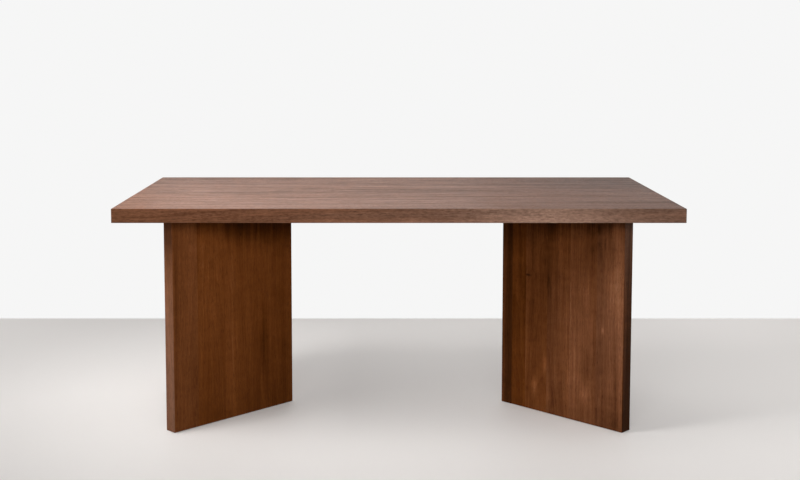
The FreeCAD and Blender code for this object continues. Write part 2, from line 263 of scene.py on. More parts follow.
world = bpy.data.worlds.new("studio")
bpy.context.scene.world = world
tree = open_tree(world)
direction = tree.nodes.new("ShaderNodeTexCoord").outputs["Generated"]
behind_share = vectors(tree, "DOT_PRODUCT", direction, FROM_BEHIND)
dim = tree.nodes.new("ShaderNodeBackground")
ambient = remap(tree, behind_share, AMBIENT_SPREAD, (0.0, AMBIENT_STRENGTH), smooth=True)
tree.links.new(ambient, dim.inputs["Strength"])
white = tree.nodes.new("ShaderNodeBackground")
white.inputs["Color"].default_value = CARD_WHITE
surround = mix_shaders(tree, seen_rays(tree), dim.outputs[0], white.outputs[0])
tree.links.new(surround, tree.nodes.new("ShaderNodeOutputWorld").inputs["Surface"])
print("ambient light from behind:", AMBIENT_STRENGTH)

# %% [markdown]
# ## Studio light
#
# Six soft boxes light the table. Two stand in front at about the height of the camera, low enough that
# the overhang only shades the head of each leg. A small one on the left brightens the end of the left
# leg and lets the other end fall into shade, which makes the V readable. Two hang above: one over the
# left of the top, which is why the top is brightest there, and a wide one high up as the ceiling of
# the studio. The last stands behind like a window and gives the satin top its sheen at a low angle.
# The front boxes are left out of reflections, so the top has no glare when it is seen from behind.

# %% Lamps
def soft_box(name, place, aim, width, height, watts, spread=180, mirrored=True):
    """A rectangular area lamp that faces a point. A spread under 180 degrees is a grid on its front."""
    lamp_data = bpy.data.lights.new(name, "AREA")
    lamp_data.shape = "RECTANGLE"
    lamp_data.size = width
    lamp_data.size_y = height
    lamp_data.energy = watts
    lamp_data.spread = math.radians(spread)
    lamp = bpy.data.objects.new(name, lamp_data)
    lamp.location = place
    lamp.visible_camera = False
    lamp.visible_glossy = mirrored
    lamp.rotation_euler = (Vector(aim) - Vector(place)).to_track_quat("-Z", "Y").to_euler()
    bpy.context.scene.collection.objects.link(lamp)
    print(name, "lamp:", watts, "W,", round((Vector(aim) - Vector(place)).length, 2), "m away")


soft_box("front", place=(0.0, -3.0, 1.4), aim=(0, 0, 0.5), width=1.6, height=0.8, watts=33, mirrored=False)
soft_box("right", place=(0.9, -2.9, 1.35), aim=(0, 0, 0.5), width=1.4, height=0.8, watts=9, mirrored=False)
soft_box("left", place=(-2.6, -1.5, 2.1), aim=(0, 0, 0.5), width=1.0, height=0.9, watts=4.6, spread=60)
soft_box(
    "overhead", place=(-1.45, -0.6, 2.1), aim=(-0.4, -0.1, 0.7), width=1.2, height=1.2, watts=9, spread=75
)
soft_box("ceiling", place=(0.3, -0.6, 5.5), aim=(0.3, -0.6, 0), width=4.0, height=3.0, watts=21)
soft_box("window", place=(-0.35, 1.27, 1.2), aim=(-0.3, -0.3, 0.7), width=1.5, height=0.6, watts=3.4)

# %% [markdown]
# ## Walnut, part 1: growth rings
#
# A board is a slice of a log. If the rings are drawn around the log's own axis, the pith, and the
# board is only a window into them, then the face, the edges and the end grain agree by themselves:
# arches on a flat-sawn face, straight lines on an edge, arcs on an end. An image wrapped round a box
# can't do that. The log here is slightly tapered, which opens the rings into arches, and slow noise
# bends it. A knot pushes the rings aside. The group works in the board's own axes: X along the grain,
# Y across, Z through.

# %% Group helper
SOCKET_KINDS = {"value": "NodeSocketFloat", "place": "NodeSocketVector", "colour": "NodeSocketColor"}


def new_group(name, takes, gives):
    """A shader node group, with the sockets that it takes in and gives out."""
    tree = bpy.data.node_groups.new(name, "ShaderNodeTree")
    for label, kind in takes.items():
        tree.interface.new_socket(label, in_out="INPUT", socket_type=SOCKET_KINDS[kind])
    for label, kind in gives.items():
        tree.interface.new_socket(label, in_out="OUTPUT", socket_type=SOCKET_KINDS[kind])
    return tree, tree.nodes.new("NodeGroupInput").outputs, tree.nodes.new("NodeGroupOutput").inputs


def centred(tree, value, reach):
    """Noise from 0 to 1 made to swing about zero by a reach each way."""
    return maths(tree, "MULTIPLY", maths(tree, "SUBTRACT", value, 0.5), 2.0 * reach)


# %% Growth rings
SLOW_WAVES = (1.4, 5.0, 5.0)
SLOW_WANDER = (0.0, 0.03, 0.03)
QUICK_WAVES = (7.0, 30.0, 30.0)
QUICK_WANDER = (0.0, 0.006, 0.006)
HALF = (0.5, 0.5, 0.5)
ZONE_WAVES = 34.0
KNOT_SHAPE = (1.3, 0.42, 0.3)
KNOT_SHARE = 0.75
KNOT_CORE = (0.2, 1.3)
KNOT_SWELL = (0.0, 4.0)
UNEVEN_WAVES = 0.4
UNEVEN_RINGS = 1.6
LATE_WOOD = 2.5


def make_figure():
    """Rings and tone zones of a board, its knot, and the bent place that finer grain follows."""
    tree, given, made = new_group(
        "walnut_figure",
        takes={
            "Board": "place", "Seed": "place", "Pith Across": "value", "Pith Below": "value",
            "Ring Width": "value", "Taper": "value", "Knot": "place", "Knot Size": "value",
        },
        gives={"Rings": "value", "Zones": "value", "Knot": "value", "Bent": "place"},
    )
    drawn = vectors(tree, "ADD", given["Board"], given["Seed"])
    slow = vectors(tree, "SUBTRACT", noise(tree, drawn, SLOW_WAVES, detail=1.0)["Color"], HALF)
    quick = vectors(tree, "SUBTRACT", noise(tree, drawn, QUICK_WAVES)["Color"], HALF)
    bent = vectors(tree, "MULTIPLY_ADD", slow, SLOW_WANDER, given["Board"])
    bent = vectors(tree, "MULTIPLY_ADD", quick, QUICK_WANDER, bent)

    from_knot = vectors(tree, "SUBTRACT", given["Board"], given["Knot"])
    off_knot = vectors(tree, "LENGTH", vectors(tree, "MULTIPLY", from_knot, KNOT_SHAPE))
    knot_reach = maths(tree, "DIVIDE", off_knot, given["Knot Size"])
    feed(tree, made["Knot"], remap(tree, knot_reach, KNOT_CORE, (KNOT_SHARE, 0.0), smooth=True))
    swell = remap(tree, knot_reach, KNOT_SWELL, (1.0, 0.0), smooth=True)
    swell = maths(tree, "MULTIPLY", swell, given["Knot Size"])

    axes = tree.nodes.new("ShaderNodeSeparateXYZ")
    tree.links.new(bent, axes.inputs[0])
    along, across, through = axes.outputs
    off_pith = maths(tree, "SUBTRACT", across, given["Pith Across"])
    above_pith = maths(tree, "ADD", through, given["Pith Below"])
    squares = [maths(tree, "POWER", side, 2.0) for side in (off_pith, above_pith)]
    radius = maths(tree, "SQRT", maths(tree, "ADD", *squares))
    radius = maths(tree, "MULTIPLY_ADD", along, given["Taper"], radius)
    radius = maths(tree, "ADD", radius, swell)

    count = maths(tree, "DIVIDE", radius, given["Ring Width"])
    wander = line_noise(tree, maths(tree, "MULTIPLY", count, UNEVEN_WAVES))
    uneven = centred(tree, wander, UNEVEN_RINGS)
    year = maths(tree, "FRACT", maths(tree, "ADD", count, uneven))
    feed(tree, made["Rings"], maths(tree, "POWER", year, LATE_WOOD))

    seed_axes = tree.nodes.new("ShaderNodeSeparateXYZ")
    tree.links.new(given["Seed"], seed_axes.inputs[0])
    zone_place = maths(tree, "MULTIPLY_ADD", radius, ZONE_WAVES, seed_axes.outputs[0])
    feed(tree, made["Zones"], line_noise(tree, zone_place, detail=2.0))
    feed(tree, made["Bent"], bent)
    return tree


walnut_figure = make_figure()
print("walnut_figure nodes:", len(walnut_figure.nodes))

# %% [markdown]
# ## Walnut, part 2: fibres and pores
#
# Between the rings, walnut is a bundle of long fibres with open pores. Stretched noise gives both:
# many waves across the grain and few along it. Coarser layers make the pigment streaks that run for
# half a metre, the dashes as long as a hand that liven a wide top, and the flecks that are as long as
# a fingernail. The mottle is the odd one out: it is shorter along the grain than across, like the
# faint ripple that shimmers on a wide board.

# %% Fibres
STREAK_WAVES = (1.2, 42.0, 42.0)
LINE_WAVES = (3.5, 160.0, 160.0)
FLECK_WAVES = (70.0, 200.0, 200.0)
FIBRE_WAVES = (8.0, 420.0, 420.0)
DASH_WAVES = (7.0, 42.0, 42.0)
PORE_WAVES = (55.0, 1300.0, 1300.0)
PORE_RANGE = (0.56, 0.7)
MOTTLE_WAVES = (34.0, 15.0, 15.0)


def make_fibre():
    """Pigment streaks, grain lines, flecks, fibres, pores, mottle and dashes, each from 0 to 1."""
    tree, given, made = new_group(
        "walnut_fibre",
        takes={"Bent": "place", "Seed": "place"},
        gives={
            "Streaks": "value", "Lines": "value", "Flecks": "value", "Fibre": "value", "Pores": "value",
            "Mottle": "value", "Dashes": "value",
        },
    )
    place = vectors(tree, "ADD", given["Bent"], given["Seed"])
    feed(tree, made["Streaks"], noise(tree, place, STREAK_WAVES, detail=3.0, roughness=0.6)[0])
    feed(tree, made["Lines"], noise(tree, place, LINE_WAVES, detail=3.0, roughness=0.65)[0])
    feed(tree, made["Flecks"], noise(tree, place, FLECK_WAVES, detail=2.0, roughness=0.6)[0])
    feed(tree, made["Fibre"], noise(tree, place, FIBRE_WAVES, detail=2.0)[0])
    pores = noise(tree, place, PORE_WAVES, detail=1.0)[0]
    feed(tree, made["Pores"], remap(tree, pores, PORE_RANGE, (0.0, 1.0)))
    feed(tree, made["Mottle"], noise(tree, place, MOTTLE_WAVES, detail=2.0)[0])
    feed(tree, made["Dashes"], noise(tree, place, DASH_WAVES, detail=3.0, roughness=0.6)[0])
    return tree


walnut_fibre = make_fibre()
print("walnut_fibre nodes:", len(walnut_fibre.nodes))

# %% [markdown]
# ## Walnut, part 3: single streaks
#
# Noise gives every board the same kind of figure, but a real panel is told apart by a few marks: a
# pale sapwood line beside a joint, a dark smear, a dark outer edge. Each of those is one soft patch
# with a place and a size on its board. Its rim is frayed by the pigment streaks, so it follows the
# grain instead of looking airbrushed. The group only says where the patch is. The board then decides
# what it does there: change the tone, fade the wood, paint a greyer sheen, calm its figure or
# strengthen its flecks. The same patches also carry painted shade, at the heads and feet of the legs
# and at the right end of the top, and painted light and sheen on some edges.

# %% Single streaks
FRAY_REACH = 0.35


def make_streak():
    """One soft patch on a board, 1 in its middle and 0 outside its width and reach."""
    tree, given, made = new_group(
        "walnut_streak",
        takes={
            "Board": "place", "Fray": "value", "Across": "value", "Width": "value",
            "Along": "value", "Reach": "value",
        },
        gives={"Streak": "value"},
    )
    axes = tree.nodes.new("ShaderNodeSeparateXYZ")
    tree.links.new(given["Board"], axes.inputs[0])
    falls = []
    sides = ((axes.outputs[0], "Along", "Reach"), (axes.outputs[1], "Across", "Width"))
    for place, middle, size in sides:
        off_middle = maths(tree, "ABSOLUTE", maths(tree, "SUBTRACT", place, given[middle]))
        falls.append(maths(tree, "DIVIDE", off_middle, given[size]))
    frayed = maths(tree, "ADD", falls[0], centred(tree, given["Fray"], FRAY_REACH))
    lengthwise = remap(tree, frayed, (0.0, 1.0), (1.0, 0.0), smooth=True)
    crosswise = remap(tree, falls[1], (0.0, 1.0), (1.0, 0.0), smooth=True)
    feed(tree, made["Streak"], maths(tree, "MULTIPLY", lengthwise, crosswise))
    return tree


walnut_streak = make_streak()
print("walnut_streak nodes:", len(walnut_streak.nodes))

# %% [markdown]
# ## Walnut, part 4: oiled colour
#
# Hardwax oil darkens walnut and leaves it satin. The last group adds all the layers up to one tone
# and looks its colour up on a ramp from heart brown to pale brown, so light and dark streaks also
# differ in hue, as they do in the wood. Daylight then fades walnut to a greyer, pinker brown, most of
# all on a table top, so a share of faded colour is mixed in. On a few edges the same greyer colour is
# mixed in as a painted sheen. Pores stay dark and a little rougher, end grain drinks more oil and is
# darker still, and the same layers give a shallow height for the bump.
#
# Seen at a low angle, a satin top shows more of its sheen than of its colour, and grain that is only
# painted would vanish there. In real walnut dark grain is more open and shines less. So the roughness
# follows the tone, and the Gloss input says by how much.

# %% Oiled colour
WALNUT_RAMP = (
    (0.0, (0.055, 0.015, 0.0022)),
    (0.3, (0.11, 0.03, 0.0045)),
    (0.52, (0.178, 0.05, 0.0092)),
    (0.78, (0.25, 0.074, 0.0165)),
    (1.0, (0.36, 0.125, 0.04)),
)
# Faded walnut. On a few edges the same colour is a painted sheen.
FADED_AND_SHEEN_WALNUT = (0.262, 0.207, 0.174)
FADE_AND_SHEEN_MIDDLE = 0.52
KNOT_BROWN = (0.03, 0.01, 0.003, 1.0)
ZONE_TONE = 0.22
STREAK_TONE = 0.2
LINE_TONE = 0.16
RING_TONE = 0.12
PORE_DARK = 0.5
FIBRE_DARK = 0.3
END_DARK = 0.35
END_FACING = (0.7, 0.95)
SATIN_ROUGH = 0.34
PORE_ROUGH = 0.12
MOTTLE_ROUGH = 0.06
ROUGH_RANGE = (0.2, 0.65)
PORE_DEPTH = 0.7
FIBRE_HEIGHT = 0.5


def make_tone():
    """The oiled colour, roughness and height of walnut."""
    tree, given, made = new_group(
        "walnut_tone",
        takes={
            "Rings": "value", "Zones": "value", "Knot": "value", "Streaks": "value", "Lines": "value",
            "Flecks": "value", "Fibre": "value", "Pores": "value", "Mottle": "value", "Tone": "value",
            "Contrast": "value", "Fleck Tone": "value", "Mottle Tone": "value", "Dashes": "value",
            "Dash Tone": "value", "Gloss": "value", "Fade": "value", "Grain": "place",
        },
        gives={"Colour": "colour", "Roughness": "value", "Height": "value"},
    )
    figure = centred(tree, given["Zones"], ZONE_TONE)
    for layer, reach in (("Streaks", STREAK_TONE), ("Lines", LINE_TONE)):
        figure = maths(tree, "ADD", figure, centred(tree, given[layer], reach))
    figure = maths(tree, "MULTIPLY_ADD", given["Rings"], -RING_TONE, figure)
    tone = maths(tree, "MULTIPLY_ADD", figure, given["Contrast"], given["Tone"])
    surface_layers = {"Flecks": "Fleck Tone", "Mottle": "Mottle Tone", "Dashes": "Dash Tone"}
    for layer, reach in surface_layers.items():
        tone = maths(tree, "MULTIPLY_ADD", centred(tree, given[layer], 1.0), given[reach], tone)

    ramp = tree.nodes.new("ShaderNodeValToRGB")
    stops = ramp.color_ramp.elements
    while len(stops) < len(WALNUT_RAMP):
        stops.new(1.0)
    for stop, (place, colour) in zip(stops, WALNUT_RAMP):
        stop.position = place
        stop.color = (*colour, 1.0)
    tree.links.new(tone, ramp.inputs[0])

    normal = tree.nodes.new("ShaderNodeTexCoord").outputs["Normal"]
    facing = maths(tree, "ABSOLUTE", vectors(tree, "DOT_PRODUCT", normal, given["Grain"]))
    end_grain = remap(tree, facing, END_FACING, (0.0, 1.0), smooth=True)
    shade = maths(tree, "MULTIPLY_ADD", given["Pores"], -PORE_DARK, 1.0)
    fibre_shade = maths(tree, "ADD", centred(tree, given["Fibre"], FIBRE_DARK), 1.0)
    shade = maths(tree, "MULTIPLY", shade, fibre_shade)
    shade = maths(tree, "MULTIPLY", shade, maths(tree, "MULTIPLY_ADD", end_grain, -END_DARK, 1.0))
    faded_and_sheen = vectors(tree, "SCALE", FADED_AND_SHEEN_WALNUT)
    feed(tree, faded_and_sheen.node.inputs["Scale"], maths(tree, "DIVIDE", tone, FADE_AND_SHEEN_MIDDLE))
    colour = vectors(tree, "SCALE", mix_colours(tree, given["Fade"], ramp.outputs["Color"], faded_and_sheen))
    feed(tree, colour.node.inputs["Scale"], shade)
    feed(tree, made["Colour"], mix_colours(tree, given["Knot"], colour, KNOT_BROWN))

    rough = maths(tree, "MULTIPLY_ADD", given["Pores"], PORE_ROUGH, SATIN_ROUGH)
    rough = maths(tree, "ADD", rough, centred(tree, given["Mottle"], MOTTLE_ROUGH))
    swing = maths(tree, "MULTIPLY", maths(tree, "SUBTRACT", given["Tone"], tone), given["Gloss"])
    rough = maths(tree, "ADD", rough, swing)
    feed(tree, made["Roughness"], remap(tree, rough, ROUGH_RANGE, ROUGH_RANGE))
    fibre_height = maths(tree, "MULTIPLY", given["Fibre"], FIBRE_HEIGHT)
    height = maths(tree, "MULTIPLY_ADD", given["Pores"], -PORE_DEPTH, fibre_height)
    feed(tree, made["Height"], height)
    return tree


walnut_tone = make_tone()
print("walnut_tone nodes:", len(walnut_tone.nodes))

# %% [markdown]
# ## One material for each board
#
# Two boards of one table never match, so each gets a material of its own from the same four groups:
# where in the log it was sawn, how light it is, and its own streaks. The Mapping node turns table
# coordinates into board coordinates. The satin finish has little shine seen straight on and keeps its
# sheen at a low angle, which is why the top looks greyer than the legs from the front.
#
# A Surface says how strongly a board shows its flecks, mottle, dashes and gloss. A Streak is one mark.
# Its place and size are in metres, counted from the middle of the board, and what it says of tone,
# of the greyer share (fade on the top, painted sheen on some edges), of figure and of flecks is added
# to the board's own. Some streaks are painted shade, and some painted light, not marks in the wood.

# %% Board helpers
def place_group(tree, group, **settings):
    """A group placed in a material's tree, with some of its inputs set."""
    node = tree.nodes.new("ShaderNodeGroup")
    node.node_tree = group
    for label, value in settings.items():
        feed(tree, node.inputs[label.replace("_", " ").title()], value)
    return node


def pass_on(tree, source, target):
    """Links every output of one group to the input of the same name on another."""
    for socket in source.outputs:
        if socket.name in target.inputs:
            tree.links.new(socket, target.inputs[socket.name])


def half_width(name, width_axis):
    """Half of a board's width, from its own mesh."""
    places = [vertex.co.dot(Vector(width_axis)) for vertex in nodes[name].data.vertices]
    return (max(places) - min(places)) / 2


def board_place(tree, name, grain, width_axis):
    """Coordinates from the middle of a board: along its grain, across it and through it."""
    low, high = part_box(name)
    mapping = tree.nodes.new("ShaderNodeMapping")
    mapping.vector_type = "TEXTURE"
    mapping.inputs["Location"].default_value = (low + high) / 2
    axes = Matrix((grain, width_axis, grain.cross(width_axis))).transposed()
    mapping.inputs["Rotation"].default_value = axes.to_euler()
    tree.links.new(tree.nodes.new("ShaderNodeTexCoord").outputs["Object"], mapping.inputs["Vector"])
    return mapping.outputs[0]


# %% Board material
RING_WIDTH = 0.0055
LOG_TAPER = 0.018
PITH_ASIDE = 0.07
PITH_DEPTH = (0.06, 0.15)
SEED_SPAN = 40
MIDDLE_TONE = 0.5
SATIN_SHINE = 0.025
GRAIN_RELIEF = 0.00012
KNOT_SIZE = 0.0065
FAR_AWAY = (9.0, 9.0, 9.0)
Surface = namedtuple("Surface", "flecks mottle dashes gloss")
Streak = namedtuple("Streak", "across width along reach tone fade figure flecks", defaults=(0.0,) * 4)
SAWMILL_SEED = 24
sawmill = random.Random(SAWMILL_SEED)


def walnut_board(name, grain, width_axis, tone, fade, contrast, surface, streaks, knot=FAR_AWAY):
    """The walnut of one board: grain and width_axis are its long and wide directions."""
    material = bpy.data.materials.new("walnut_" + name)
    tree = open_tree(material)
    place = board_place(tree, name, Vector(grain), Vector(width_axis))
    seed = [sawmill.uniform(0, SEED_SPAN) for axis in "xyz"]
    figure = place_group(
        tree, walnut_figure, board=place, seed=seed, ring_width=RING_WIDTH, taper=LOG_TAPER,
        pith_across=sawmill.uniform(-PITH_ASIDE, PITH_ASIDE),
        pith_below=sawmill.choice((-1, 1)) * sawmill.uniform(*PITH_DEPTH),
        knot=knot, knot_size=KNOT_SIZE,
    )
    fibre = place_group(tree, walnut_fibre, seed=seed)
    pass_on(tree, figure, fibre)

    levels = {"tone": MIDDLE_TONE + tone, "fade": fade, "figure": 1.0, "flecks": surface.flecks}
    for streak in streaks:
        patch = place_group(
            tree, walnut_streak, board=place, fray=fibre.outputs["Streaks"], across=streak.across,
            width=streak.width, along=streak.along, reach=streak.reach,
        ).outputs[0]
        for label in levels:
            change = getattr(streak, label)
            if change:
                levels[label] = maths(tree, "MULTIPLY_ADD", patch, change, levels[label])
    oil = place_group(
        tree, walnut_tone, tone=levels["tone"], fade=levels["fade"], fleck_tone=levels["flecks"],
        contrast=maths(tree, "MULTIPLY", levels["figure"], contrast),
        dash_tone=maths(tree, "MULTIPLY", levels["figure"], surface.dashes),
        mottle_tone=surface.mottle, gloss=surface.gloss, grain=grain,
    )
    pass_on(tree, figure, oil)
    pass_on(tree, fibre, oil)

    shader = tree.nodes.new("ShaderNodeBsdfPrincipled")
    shader.inputs["Specular IOR Level"].default_value = SATIN_SHINE
    tree.links.new(oil.outputs["Colour"], shader.inputs["Base Color"])
    tree.links.new(oil.outputs["Roughness"], shader.inputs["Roughness"])
    bump = tree.nodes.new("ShaderNodeBump")
    bump.inputs["Distance"].default_value = GRAIN_RELIEF
    tree.links.new(oil.outputs["Height"], bump.inputs["Height"])
    tree.links.new(bump.outputs[0], shader.inputs["Normal"])
    tree.links.new(shader.outputs[0], tree.nodes.new("ShaderNodeOutputMaterial").inputs["Surface"])
    nodes[name].material_slots[0].material = material


# %% [markdown]
# ## The top
#
# The seven boards of the top differ a little in tone and in the strength of their figure, and all have
# faded alike. Towards the right end their figure grows calmer, and the three at the back carry painted
# shade there. The front board also shows its edge to the room: finely flecked, brown on the left and
# greyer towards the right, where the grey is a painted sheen, with one paler stretch that is partly
# painted sheen too.

# %% Boards of the top
ALONG_TABLE = (1, 0, 0)
ACROSS_TABLE = (0, 1, 0)
TOP_TONES = (0.03, 0.03, 0.06, 0.0, 0.05, 0.01, 0.03)
TOP_FADE = 0.2
TOP_SURFACE = Surface(flecks=0.22, mottle=0.12, dashes=0.3, gloss=0.36)
FRONT_SURFACE = Surface(flecks=0.21, mottle=0.06, dashes=0.1, gloss=0.4)
TOP_CONTRASTS = (0.75, 1.0, 1.1, 1.0, 1.1, 0.9, 1.0)
FRONT_EDGE = -half_width("top_board_1", ACROSS_TABLE)
FRONT_RIM = 0.012
WHOLE_WIDTH = 0.3
# Painted shade: the back boards darker at the right end, where less light falls on the top.
RIGHT_END_SHADE = Streak(across=0.0, width=WHOLE_WIDTH, along=0.85, reach=0.7, tone=-0.17)
CALM_END = Streak(across=0.0, width=WHOLE_WIDTH, along=0.6, reach=0.7, figure=-0.4)
TOP_STREAKS = {
    1: (
        # Painted sheen: the greyer share that grows towards the right of the front edge.
        Streak(across=FRONT_EDGE, width=FRONT_RIM, along=0.6, reach=1.3, tone=0.03, fade=0.22, flecks=0.1),
        # A paler stretch of the front edge, partly painted sheen.
        Streak(
            across=FRONT_EDGE, width=FRONT_RIM, along=0.46, reach=0.36, tone=0.3, fade=0.06, flecks=0.14,
        ),
        Streak(across=FRONT_EDGE, width=FRONT_RIM, along=-0.75, reach=0.6, tone=-0.09),
    ),
    **dict.fromkeys((2, 3, 4), (CALM_END,)),
    **dict.fromkeys((5, 6, 7), (CALM_END, RIGHT_END_SHADE)),
}

for number, (tone, contrast) in enumerate(zip(TOP_TONES, TOP_CONTRASTS), start=1):
    walnut_board(
        f"top_board_{number}", ALONG_TABLE, ACROSS_TABLE, tone=tone, fade=TOP_FADE,
        contrast=contrast, surface=FRONT_SURFACE if number == 1 else TOP_SURFACE,
        streaks=TOP_STREAKS[number],
    )
print("top boards:", len(TOP_TONES))

# %% [markdown]
# ## The legs
#
# Each panel is five staves, numbered from the corner of the V outwards. The front panels carry painted
# shade at the head, where the top shades them, and towards the foot, where the light falls off. The
# left leg is softly clouded, with painted light in the upper middle of its outer staves and a dark
# margin beside its outer edge, which is painted lighter and greyer as light and sheen. The right leg
# is livelier. Its staves go from dark at the corner to pale outside, with pale lines beside two joints,
# dark smears, a pale patch high on the outer stave that is partly a painted highlight, a few pale
# patches near the foot and one small knot. Its outer edge is dark wood, with painted shade that
# deepens it towards the foot. The rear panels, which only the room behind sees, are plainer.

# %% Tones and surfaces of the panels
UPRIGHT = (0, 0, 1)
SLANT = math.sqrt(0.5)
ARMS = {
    "left_front_panel": (-SLANT, -SLANT, 0),
    "left_rear_panel": (-SLANT, SLANT, 0),
    "right_front_panel": (SLANT, -SLANT, 0),
    "right_rear_panel": (SLANT, SLANT, 0),
}
STAVE_TONES = {
    "left_front_panel": (0.09, 0.2, 0.24, 0.25, 0.24),
    "left_rear_panel": (0.06, 0.16, 0.12, 0.2, 0.15),
    "right_front_panel": (0.02, 0.1, 0.17, 0.195, 0.26),
    "right_rear_panel": (-0.19, 0.14, 0.2, 0.13, 0.18),
}
STAVE_FADES = {
    "left_front_panel": (0.0, 0.0, 0.0, 0.0, 0.03),
    "left_rear_panel": (0.03, 0.03, 0.03, 0.03, 0.03),
    "right_front_panel": (0.0, 0.03, 0.07, 0.09, 0.13),
    "right_rear_panel": (0.05, 0.05, 0.05, 0.05, 0.05),
}
PANEL_CONTRAST = {
    "left_front_panel": 0.8, "left_rear_panel": 1.1, "right_front_panel": 1.15, "right_rear_panel": 1.3,
}
LEG_SURFACE = Surface(flecks=0.08, mottle=0.06, dashes=0.0, gloss=0.1)
LIVELY_SURFACE = Surface(flecks=0.1, mottle=0.13, dashes=0.14, gloss=0.1)
CLOUDY_SURFACE = Surface(flecks=0.08, mottle=0.11, dashes=0.05, gloss=0.1)
PANEL_SURFACES = {"left_front_panel": CLOUDY_SURFACE, "right_front_panel": LIVELY_SURFACE}
print("panels:", len(ARMS))

# %% [markdown]
# ## Marks on the legs
#
# A panel looks glued up from real staves when each has marks that stop at its joints. They could be
# painted on an image, but an image has one resolution and wraps badly round a corner. Here they are
# short lists, stave by stave. Painted shade at the heads and feet comes first, because several staves
# share it. Marks at an outer edge are so narrow that they colour the edge face and hardly touch the
# broad one.

# %% Painted shade that staves share
HEAD = 0.36
FOOT = -0.36
# Painted shade: darker heads where the top shades the legs, and darker feet where the light falls off
# towards the floor.
SOFT_HEAD_SHADE = Streak(across=0.0, width=WHOLE_WIDTH, along=HEAD, reach=0.42, tone=-0.13, fade=-0.05)
DEEP_HEAD_SHADE = Streak(across=0.0, width=WHOLE_WIDTH, along=HEAD, reach=0.16, tone=-0.6)
HALF_HEAD_SHADE = Streak(across=0.0, width=WHOLE_WIDTH, along=HEAD, reach=0.09, tone=-0.3)
FOOT_SHADE = Streak(across=0.0, width=WHOLE_WIDTH, along=FOOT, reach=0.14, tone=-0.16)
print("dark heads reach", DEEP_HEAD_SHADE.reach, "and", HALF_HEAD_SHADE.reach, "m down from the top")

# %% Marks on the left leg
LEFT_OUTER_EDGE = half_width("left_front_panel_stave_5", ARMS["left_front_panel"])
LEFT_RIM = 0.003
MARGIN_INSET = 0.013
LEFT_MARGIN = LEFT_OUTER_EDGE - MARGIN_INSET
# Painted shade on every stave of the left leg: at the head under the top, and towards the foot.
LEFT_HEAD_FOOT_SHADE = (
    Streak(across=0.0, width=WHOLE_WIDTH, along=HEAD, reach=0.12, tone=-0.1),
    Streak(across=0.0, width=WHOLE_WIDTH, along=FOOT, reach=0.36, tone=-0.12),
)
LEFT_MARKS = {
    1: (*LEFT_HEAD_FOOT_SHADE, DEEP_HEAD_SHADE),
    2: (
        *LEFT_HEAD_FOOT_SHADE, DEEP_HEAD_SHADE,
        # A dark patch below the head, which deepens the painted shade under the top.
        Streak(across=-0.01, width=0.05, along=0.3, reach=0.15, tone=-0.14),
        Streak(across=-0.016, width=0.044, along=-0.11, reach=0.19, tone=-0.22),
        Streak(across=0.046, width=0.03, along=-0.1, reach=0.25, tone=0.12),
    ),
    3: (
        *LEFT_HEAD_FOOT_SHADE, DEEP_HEAD_SHADE,
        Streak(across=0.045, width=0.034, along=0.0, reach=0.8, tone=-0.12),
    ),
    4: (
        *LEFT_HEAD_FOOT_SHADE, HALF_HEAD_SHADE,
        # Painted light: paler in the upper middle, where the leg is lit most.
        Streak(across=0.0, width=0.075, along=0.1, reach=0.32, tone=0.15),
    ),
    5: (
        *LEFT_HEAD_FOOT_SHADE,
        # Painted light: paler in the upper middle, where the leg is lit most.
        Streak(across=-0.045, width=0.05, along=0.1, reach=0.32, tone=0.13),
        Streak(across=-0.005, width=0.032, along=-0.28, reach=0.17, tone=0.12),
        Streak(across=LEFT_MARGIN, width=0.012, along=0.05, reach=0.52, tone=-0.22),
        # The outer edge is painted lighter and greyer: painted light where the left lamp falls on it, and
        # painted sheen.
        Streak(across=LEFT_OUTER_EDGE, width=LEFT_RIM, along=-0.1, reach=0.6, fade=0.19),
        Streak(across=LEFT_OUTER_EDGE, width=LEFT_RIM, along=FOOT, reach=0.32, tone=0.1, fade=0.07),
    ),
}
print("marks on the left leg:", sum(len(marks) for marks in LEFT_MARKS.values()))

# %% Marks on the right leg
RIGHT_OUTER_EDGE = half_width("right_front_panel_stave_5", ARMS["right_front_panel"])
RIGHT_RIM = 0.0016
# Painted shade at the head and at the foot of the paler staves.
PALE_STAVE_SHADE = (SOFT_HEAD_SHADE, HALF_HEAD_SHADE, FOOT_SHADE)
